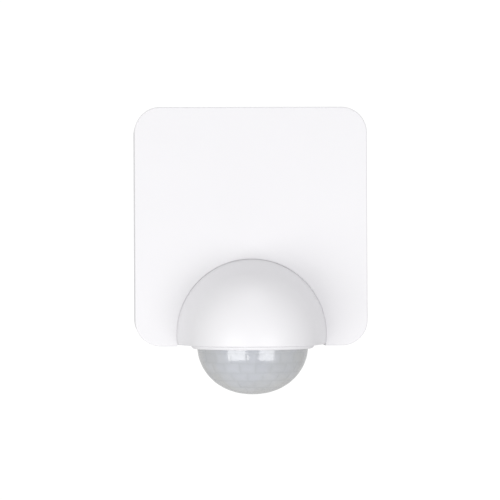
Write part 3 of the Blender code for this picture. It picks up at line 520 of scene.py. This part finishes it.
def make_base():
    """The wall plate: a shallow tray with two lugs, four slots and the cable hole."""
    back_edge, front_edge = 0.5, 0.2
    base = slab("base_moulding", BASE_SIZE, BASE_CORNER, 0.0, BASE_DEPTH, near_edge=back_edge,
                far_edge=front_edge, steps=16)
    inner = (BASE_SIZE[0] - 2 * BASE_WALL, BASE_SIZE[1] - 2 * BASE_WALL)
    half = BASE_SIZE[1] / 2
    notch_half = 20.0
    steps = [("DIFFERENCE", slab("pocket", inner, BASE_CORNER - BASE_WALL, BASE_FLOOR,
                                 BASE_DEPTH + PAST, near_edge=back_edge)),
             ("DIFFERENCE", box("notch", (-notch_half, -BASE_DEPTH - PAST, -half - PAST),
                                (notch_half, -BASE_FLOOR, -half + BASE_WALL + PAST)))]
    lug_half, lug_top, lug_back, lug_front, lug_inset = 4.0, 8.0, 1.0, 21.0, 0.3
    lug_bore = rod(1.6, -4, 4)
    sink_lip, sink_depth = 2.0, 0.5
    for side in SIDES:
        x = side * SCREW_X
        lug = box("lug", (x - lug_half, -lug_front, -half + lug_inset),
                  (x + lug_half, -lug_back, -half + lug_top))
        outline = slab("lug_outline", (BASE_SIZE[0] - 2 * lug_inset, BASE_SIZE[1] - 2 * lug_inset),
                       BASE_CORNER - lug_inset, 0.0, lug_front + PAST)
        work_on(lug, [("INTERSECT", outline)])
        steps.append(("UNION", lug))
        steps.append(("DIFFERENCE", lathe("lug_bore", lug_bore, 24, (x, -SCREW_DEPTH, -half))))
        for height in (half - SLOT_TOP_INSET, SLOT_BOTTOM_INSET - half):
            centre = (side * (BASE_SIZE[0] / 2 - SLOT_INSET), height)
            for name, lip, far in (("slot", 0.0, BASE_FLOOR + PAST),
                                   ("slot_sink", sink_lip, sink_depth)):
                size = (SLOT_SIZE[0] + 2 * lip, SLOT_SIZE[1] + 2 * lip)
                steps.append(("DIFFERENCE", slab(name, size, size[0] / 2 - 0.01, -PAST, far,
                                                 centre=centre, steps=10)))
    entry = (0, 0, GROMMET_HEIGHT)
    groove, groove_depth = (11.2, 12.0), 0.35
    groove_profile = [(groove[0], -PAST), (groove[0], groove_depth), (groove[1], groove_depth),
                      (groove[1], -PAST)]
    steps.append(("DIFFERENCE", lathe("cable_hole", rod(GROMMET_HOLE, -PAST, 4), 64, entry, "-Y")))
    steps.append(("DIFFERENCE", lathe("ring_groove", groove_profile, 64, entry, "-Y")))
    recess_size, recess_corner, recess_depth, recess_height = (46.0, 40.0), 4.0, 0.6, -14.0
    steps.append(("DIFFERENCE", slab("back_recess", recess_size, recess_corner, -PAST,
                                     recess_depth, centre=(0, recess_height))))
    reach, ejector = 14.0, rod(2.2, -PAST, 0.8)
    for x, z in ((-reach, 0.0), (reach, 0.0), (-reach, -2 * reach), (reach, -2 * reach)):
        steps.append(("DIFFERENCE", lathe("ejector", ejector, 32, (x, 0, z), "-Y")))
    rib_x, rib_half, rib_front, rib_root, rib_low, rib_high = 22.0, 0.6, 7.0, 2.0, -40.0, 3.0
    for side in SIDES:
        steps.append(("UNION", box("rib", (side * rib_x - rib_half, -rib_front, rib_low),
                                   (side * rib_x + rib_half, -rib_root, rib_high))))
    work_on(base, steps)
    dress(soften(base, angle=28), "white_plastic", "housing", "wall_base")


def ear_place(side):
    """Where a hood ear's screw stands, as x and height."""
    reach = HOOD_COLLAR + 2.6
    angle = math.radians(50)
    return side * reach * math.sin(angle), HOOD_CENTRE + reach * math.cos(angle)


def hood_section(inset, back, steps):
    """Half the hood's section about its level axis: dome, tangent cone and tube."""
    radius, collar = HOOD_RADIUS - inset, HOOD_COLLAR - inset
    behind = LENS_AXIS - COVER_FRONT
    touch = math.degrees(math.acos(radius / math.hypot(collar, behind))
                         - math.atan2(behind, collar))
    dome = arc((0, LENS_AXIS), (radius, radius), 90, touch, steps)
    dome[0] = (0, LENS_AXIS + radius)
    cone = []
    parts = 6
    for k in range(1, parts):
        share = k / parts
        cone.append((dome[-1][0] + (collar - dome[-1][0]) * share,
                     dome[-1][1] + (COVER_FRONT - dome[-1][1]) * share))
    return [*dome, *cone, (collar, COVER_FRONT), (collar, back), (0, back)]


def outward(x, out, up):
    """The hood's level outward direction at a point on it, and none on its flat back."""
    radius = math.hypot(x, up)
    if out > COVER_FRONT + DOME_START:
        facing = Vector((x, out - LENS_AXIS, 0))
    elif out > COVER_FRONT:
        facing = Vector((x, radius * CONE_SLOPE, 0))
    elif radius > HOOD_COLLAR - 0.05:
        facing = Vector((x, 0, 0))
    else:
        facing = Vector((0, 0, 0))
    return facing.normalized() if facing.length > 1e-6 else facing


def trim_hood(hood):
    """Cut the turned hood off at its rim, close it there and round the rim's outer edge."""
    work = bmesh.new()
    work.from_mesh(hood.data)
    turns = 6
    levels = [RIM + HOOD_RIM_EDGE * (1 - math.cos(k / turns * math.pi / 2))
              for k in range(1, turns + 1)]
    for height in reversed(levels):
        bmesh.ops.bisect_plane(work, geom=work.verts[:] + work.edges[:] + work.faces[:],
                               plane_co=(0, 0, height * MM), plane_no=(0, 0, 1))
    bmesh.ops.bisect_plane(work, geom=work.verts[:] + work.edges[:] + work.faces[:],
                           plane_co=(0, 0, RIM * MM), plane_no=(0, 0, 1), clear_inner=True)
    edges = [edge for edge in work.edges if edge.is_boundary]
    bmesh.ops.holes_fill(work, edges=edges, sides=0)
    bmesh.ops.recalc_face_normals(work, faces=work.faces)
    for vert in work.verts:
        rise = vert.co.z / MM - RIM
        if rise < HOOD_RIM_EDGE:
            rest = HOOD_RIM_EDGE - rise
            inset = HOOD_RIM_EDGE - math.sqrt(max(HOOD_RIM_EDGE ** 2 - rest ** 2, 0.0))
            out = outward(vert.co.x / MM, -vert.co.y / MM, vert.co.z / MM - HOOD_CENTRE)
            vert.co.x -= out.x * inset * MM
            vert.co.y += out.y * inset * MM
    work.to_mesh(hood.data)
    work.free()


def make_hood():
    """The domed hood: hollow, with a panel round the lens below and two screw ears."""
    hood = lathe("hood_moulding", hood_section(0, TUBE_BACK, 44), 200, (0, 0, HOOD_CENTRE), "-Y")
    trim_hood(hood)
    half = HOOD_COLLAR - 0.8
    steps = [("UNION", box("panel", (-half, -TUBE_BACK - HOOD_WALL, RIM + 0.001),
                           (half, -PANEL_BACK, RIM + HOOD_WALL)))]
    ear = rod(EAR_RADIUS, TUBE_BACK, TUBE_BACK + HOOD_WALL)
    for side in SIDES:
        across, up = ear_place(side)
        steps.append(("UNION", lathe("ear", ear, 40, (across, 0, up), "-Y")))
    inside = lathe("inside", hood_section(HOOD_WALL, TUBE_BACK - PAST, 24), 96,
                   (0, 0, HOOD_CENTRE), "-Y")
    work_on(inside, [("DIFFERENCE", box("floor", (-95, -95, -145), (95, 0, RIM + HOOD_WALL)))])
    steps.append(("DIFFERENCE", inside))
    bore, chamfer, end = RING_RADIUS + FIT_GAP, 0.3, 5.0
    opening = [(0, -PAST), (bore + chamfer, -PAST), (bore + chamfer, 0), (bore, chamfer),
               (bore, end), (0, end)]
    steps.append(("DIFFERENCE", lathe("opening", opening, 128, (0, -LENS_AXIS, RIM))))
    hole = rod(EAR_HOLE, TUBE_BACK - PAST, TUBE_BACK + HOOD_WALL + PAST)
    for side in SIDES:
        across, up = ear_place(side)
        steps.append(("DIFFERENCE", lathe("ear_hole", hole, 24, (across, 0, up), "-Y")))
    work_on(hood, steps)
    dress(soften(hood, angle=28), "white_plastic", "housing", "hood")


def make_cover_screws():
    """Two pan-head screws with a pointed, threaded shank and a cross recess."""
    bottom, seat = COVER_BOTTOM + 0.1, COVER_BOTTOM + 0.9
    shank, root, pitch = 1.3, 1.02, 0.62
    head, head_edge = 2.6, 0.35
    cross_long, cross_thin, cross_depth = 1.6, 0.32, 0.55
    profile = [(0, SCREW_TIP), (0.4, SCREW_TIP - 0.2), (0.9, SCREW_TIP - 0.7),
               (shank, SCREW_TIP - 1.4)]
    height = SCREW_TIP - 1.6
    while height > seat + 0.9:
        profile += [(shank, height), (root, height - 0.28), (root, height - 0.36)]
        height -= pitch
    profile += [(1.1, seat), (head, seat), (head, bottom + head_edge)]
    profile += arc((head - head_edge, bottom + head_edge), (head_edge, head_edge), 0, -90, 5)[1:]
    profile += [(0, bottom)]
    for side, label in zip(SIDES, ("left", "right")):
        x = side * SCREW_X
        screw = lathe(f"cover_screw_{label}_fine", profile, 48, (x, -SCREW_DEPTH, 0))
        cuts = []
        for wide, deep in ((cross_long, cross_thin), (cross_thin, cross_long)):
            cuts.append(("DIFFERENCE", box("cross", (x - wide, -SCREW_DEPTH - deep, bottom - PAST),
                                           (x + wide, -SCREW_DEPTH + deep, bottom + cross_depth))))
        work_on(screw, cuts)
        dress(soften(screw, angle=32), "zinc_steel", "housing", f"cover_screw_{label}")


def make_grommet():
    """A rubber grommet: a neck in the base's hole, a flange and a stepped cone."""
    near = BASE_FLOOR + FIT_GAP
    far = near + GROMMET_FLANGE
    neck, flange = GROMMET_HOLE - FIT_GAP, GROMMET_HOLE + GROMMET_FLANGE
    inner, edge = neck - 1.2, 0.3
    profile = [(0, far + 2.2), (1.2, far + 2.15), (2.2, far + 1.9), (neck - 2.0, far + 0.25),
               (neck - 1.4, far), (flange - edge, far), (flange, far - edge),
               (flange, near + 0.2), (flange - 0.2, near), (neck, near), (neck, 2 * edge),
               (neck - edge, edge), (inner + edge, edge), (inner, 2 * edge),
               (inner, near + 0.4), (5.2, near + 0.9), (4.9, near + 0.7), (3.6, near + 1.3),
               (3.3, near + 1.1), (1.6, near + 1.9), (0, near + 2.2)]
    grommet = lathe("cable_grommet_fine", profile, 64, (0, 0, GROMMET_HEIGHT), "-Y")
    dress(soften(grommet, angle=40), "black_rubber", "housing", "cable_grommet")


def make_knobs():
    """Three slotted adjuster knobs, each with a pointer end to its slot."""
    shaft, edge = 1.32, 0.3
    slot_half, slot_depth, slot_short, slot_long = 0.4, 0.9, 1.21, 3.2
    shoulder = COVER_BOTTOM + COVER_WALL - FIT_GAP
    for index, name in KNOBS:
        x = index * KNOB_PITCH
        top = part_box(f"{name}_knob")[1].z / MM
        profile = [(0, top), (shaft, top), (shaft, shoulder), (KNOB_RADIUS - 0.2, shoulder),
                   (KNOB_RADIUS, shoulder - 0.2), (KNOB_RADIUS, KNOB_FACE + edge)]
        profile += arc((KNOB_RADIUS - edge, KNOB_FACE + edge), (edge, edge), 0, -90, 4)[1:]
        profile += [(0, KNOB_FACE)]
        knob = lathe(f"{name}_knob_fine", profile, 64, (x, -KNOB_DEPTH, 0))
        slot = box("slot", (x - slot_half, -KNOB_DEPTH - slot_long, KNOB_FACE - PAST),
                   (x + slot_half, -KNOB_DEPTH + slot_short, KNOB_FACE + slot_depth))
        work_on(knob, [("DIFFERENCE", slot)])
        dress(soften(knob, angle=32), "white_plastic", f"{name}_adjuster", f"{name}_knob")


# ---------------------------------------------------------------------------- head pieces


def make_ring():
    """The white ring round the lens, with a lip that slopes in under the hood's rim."""
    lip_top = RIM - 0.08
    swell = 1.55
    corner = (RING_LIP - 1.45, lip_top + 0.45)
    profile = [(RING_RADIUS, LENS_TOP), (RING_RADIUS, lip_top), (RING_LIP - 0.05, lip_top)]
    profile += arc(corner, (swell, corner[1] - RING_BOTTOM), -21, -84, 12)
    profile += [(RING_BORE + 0.25, RING_BOTTOM), (RING_BORE + 0.05, RING_BOTTOM + 0.06),
                (RING_BORE, RING_BOTTOM + 0.25), (RING_BORE, LENS_TOP)]
    ring = lathe("lens_ring_fine", profile, 256, (0, -LENS_AXIS, 0))
    dress(soften(ring, angle=35), "white_plastic", "head", "lens_ring")


# The lens's rows of cells: their lower edges in degrees below the equator, and cells a row.
ROWS = ((7.0, 20), (19.5, 20), (32.0, 20), (44.5, 18), (57.0, 14), (69.5, 10), (81.0, 6),
        (90.0, 1))


def lens_cell(around, down):
    """The lens's surface at an angle round it and down from its equator, in degrees: how deep
    it lies and how far it is from its cell's middle, in millimetres, then how near it is to a
    border, from 0 to 1, which sets the painted shade toward cell borders and in the grooves
    between cells, and its cell's tone, from 0 to 1."""
    top = -10.0
    for row, (bottom, count) in enumerate(ROWS):
        if down <= bottom or row == len(ROWS) - 1:
            break
        top = bottom
    if row == 0:
        return 0.0, 0.0, 0.0, 0.5
    width = 360.0 / count
    offset = width / 2 if row % 2 else 0.0
    turn = (around + offset) / width
    radius = LENS_RADIUS * math.cos(math.radians(down))
    mean_radius = (LENS_RADIUS + LENS_DROP) / 2
    across = (turn % 1.0 - 0.5) * math.radians(width) * radius
    along = math.radians(down - (top + bottom) / 2) * mean_radius
    half_across = math.radians(width) / 2 * radius
    half_along = math.radians(bottom - top) / 2 * mean_radius
    if count == 1:
        edge = math.radians(down - top) * LENS_RADIUS
        distance = radius
    else:
        edge = min(half_along - abs(along), half_across - abs(across))
        distance = math.hypot(across, along)
    scatter = math.sin(12.9898 * math.floor(turn) + 78.233 * row) * 43758.5453
    groove = max(0.0, 1 - edge / CELL_EDGE)
    slope = 1 - min(1.0, edge / max(min(half_across, half_along), 0.1))
    depth = CELL_GROOVE * groove + CELL_SWELL * slope ** 2
    # The third value is painted shade: it grows toward the cell's border and in the groove,
    # following the cell's swell.
    return depth, distance, 0.35 * groove + 0.65 * slope ** 1.5, scatter - math.floor(scatter)


def circle(radius, height, count):
    """Points round the lens's axis at a height, from the front."""
    turns = [2 * math.pi * k / count for k in range(count)]
    return [(radius * math.sin(a), -radius * math.cos(a) - LENS_AXIS, height) for a in turns]


def make_lens():
    """The lens bowl: cells moulded outside and smooth inside, with each point's place in its
    cell, its painted shade toward the cell's border and its cell's tone kept for the material."""
    count, down_steps = ((480, 150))
    plain = (0.0, 0.0, 0.5)
    points, marks = [], []
    for height in (LENS_TOP, LENS_TOP - 1.6):
        points += circle(LENS_RADIUS, height, count)
        marks += [plain] * count
    for step in range(down_steps):
        down = 90.0 * (step / down_steps)
        d = math.radians(down)
        for k in range(count):
            depth, distance, painted_shade, tone = lens_cell(360.0 * k / count, down)
            a = math.radians(360.0 * k / count)
            reach = (LENS_RADIUS - depth) * math.cos(d) ** LENS_FULLNESS
            points.append((reach * math.sin(a), -reach * math.cos(a) - LENS_AXIS,
                           LENS_EQUATOR - (LENS_DROP - depth) * math.sin(d)))
            marks.append((distance, painted_shade, tone))
    outer_rows = len(points) // count
    bottom = len(points)
    points.append((0, -LENS_AXIS, LENS_EQUATOR - LENS_DROP))
    first_inner = len(points)
    inner = arc((0, LENS_EQUATOR), (LENS_RADIUS - LENS_WALL, LENS_DROP - LENS_WALL), 0, -90, 24)
    inner = [(LENS_RADIUS - LENS_WALL, LENS_TOP), *inner[:-1]]
    for radius, height in inner:
        points += circle(radius, height, count)
    inner_bottom = len(points)
    points.append((0, -LENS_AXIS, LENS_EQUATOR - LENS_DROP + LENS_WALL))
    faces = []
    for k in range(count):
        n = (k + 1) % count
        for row in range(outer_rows - 1):
            a = row * count
            faces.append((a + k, a + n, a + count + n, a + count + k))
        faces.append((bottom - count + k, bottom - count + n, bottom))
        for row in range(len(inner) - 1):
            a = first_inner + row * count
            faces.append((a + k, a + count + k, a + count + n, a + n))
        faces.append((inner_bottom - count + k, inner_bottom, inner_bottom - count + n))
        faces.append((k, first_inner + k, first_inner + n, n))
    lens = new_object("fresnel_lens_fine", points, faces)
    marks.append(plain)
    marks += [(0.0, 0.0, 0.0)] * (len(points) - len(marks))
    # The second value kept is painted shade toward each cell's border and in the grooves.
    for name, values in zip(("cell_radius", "cell_painted_shade", "cell_tone"), zip(*marks)):
        attribute = lens.data.attributes.new(name, "FLOAT", "POINT")
        attribute.data.foreach_set("value", values)
    lens.data.shade_smooth()
    lens.data.set_sharp_from_angle(angle=math.radians(50))
    dress(lens, "lens_plastic", "head", "fresnel_lens")


make_cover()
make_dial_marks()
make_base()
make_hood()
make_cover_screws()
make_grommet()
make_knobs()
make_ring()
make_lens()

# The CAD pieces that are shown as they are get their procedural finishes.
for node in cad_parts.values():
    current = node.data.materials[0].name.split(".")[0] if node.data.materials else ""
    chosen = MATERIALS.get(current, MATERIALS["grey_plastic"])
    node.data.materials.clear()
    node.data.materials.append(chosen)


# ---------------------------------------------------------------- floor, light and camera


def make_floor():
    """A wide pale floor, far below."""
    side, near, top, thick = 8000, 6000, -1700, 20
    floor = box("studio_floor", (-side, -side, top - thick), (side, near, top))
    nodes = Nodes("studio_floor_pale")
    cloud = nodes.noise(3, 3)
    nodes.set("Base Color", nodes.ramp(cloud.outputs["Fac"], (0.86, 0.86, 0.86, 1),
                                       (0.88, 0.88, 0.88, 1)))
    nodes.set("Roughness", 0.8)
    floor.data.materials.append(nodes.material)


def make_world():
    """White behind the object, and softer light from all round."""
    world = bpy.data.worlds.new("studio")
    bpy.context.scene.world = world
    world.use_nodes = True
    tree = world.node_tree
    tree.nodes.clear()
    output = tree.nodes.new("ShaderNodeOutputWorld")
    mix = tree.nodes.new("ShaderNodeMixShader")
    path = tree.nodes.new("ShaderNodeLightPath")
    seen = tree.nodes.new("ShaderNodeBackground")
    seen.inputs["Color"].default_value = (1, 1, 1, 1)
    seen.inputs["Strength"].default_value = BACKDROP
    around = tree.nodes.new("ShaderNodeBackground")
    around.inputs["Color"].default_value = (1, 1, 1, 1)
    around.inputs["Strength"].default_value = AMBIENT
    tree.links.new(path.outputs["Is Camera Ray"], mix.inputs[0])
    tree.links.new(around.outputs[0], mix.inputs[1])
    tree.links.new(seen.outputs[0], mix.inputs[2])
    tree.links.new(mix.outputs[0], output.inputs["Surface"])


def direction(azimuth, elevation):
    """A direction in front of the object: azimuth to the right, elevation up, in degrees."""
    a, e = math.radians(azimuth), math.radians(elevation)
    return Vector((math.sin(a) * math.cos(e), -math.cos(a) * math.cos(e), math.sin(e)))


def softbox(name, azimuths, elevations, strength, colour):
    """A flat panel of light that fills a window of directions as seen from the lens."""
    aim = Vector((0, -LENS_AXIS, LENS_EQUATOR)) * MM
    azimuth, elevation = sum(azimuths) / 2, sum(elevations) / 2
    toward = direction(azimuth, elevation)
    light = bpy.data.lights.new(name, "AREA")
    light.shape = "RECTANGLE"
    wide = math.radians(azimuths[1] - azimuths[0]) * math.cos(math.radians(elevation))
    high = math.radians(elevations[1] - elevations[0])
    light.size = 2 * WINDOW_DISTANCE * math.tan(wide / 2)
    light.size_y = 2 * WINDOW_DISTANCE * math.tan(high / 2)
    light.energy = strength * light.size * light.size_y * math.pi
    light.color = colour
    item = bpy.data.objects.new(name, light)
    bpy.context.scene.collection.objects.link(item)
    item.location = aim + toward * WINDOW_DISTANCE
    item.rotation_euler = (-toward).to_track_quat("-Z", "Y").to_euler()


def make_camera():
    """A long lens in front, a little to the left, at the height of the target."""
    camera = bpy.data.cameras.new("camera")
    camera.sensor_width = 36.0
    camera.lens = CAMERA_LENS
    camera.clip_start, camera.clip_end = 0.05, 20.0
    item = bpy.data.objects.new("camera", camera)
    bpy.context.scene.collection.objects.link(item)
    target = Vector(CAMERA_TARGET) * MM
    place = target + direction(-CAMERA_YAW, 0) * CAMERA_DISTANCE
    item.location = place
    look = (target - place).to_track_quat("-Z", "Y")
    roll = Matrix.Rotation(math.radians(CAMERA_ROLL), 3, "Z")
    item.rotation_euler = (look.to_matrix() @ roll).to_euler()
    bpy.context.scene.camera = item


make_floor()
make_world()
for window_name, window in WINDOWS.items():
    softbox(window_name, *window)
make_camera()

scene = bpy.context.scene
scene.view_settings.view_transform = "Standard"
scene.view_settings.look = "None"
scene.view_settings.exposure = 0.0
scene.view_settings.gamma = 1.0
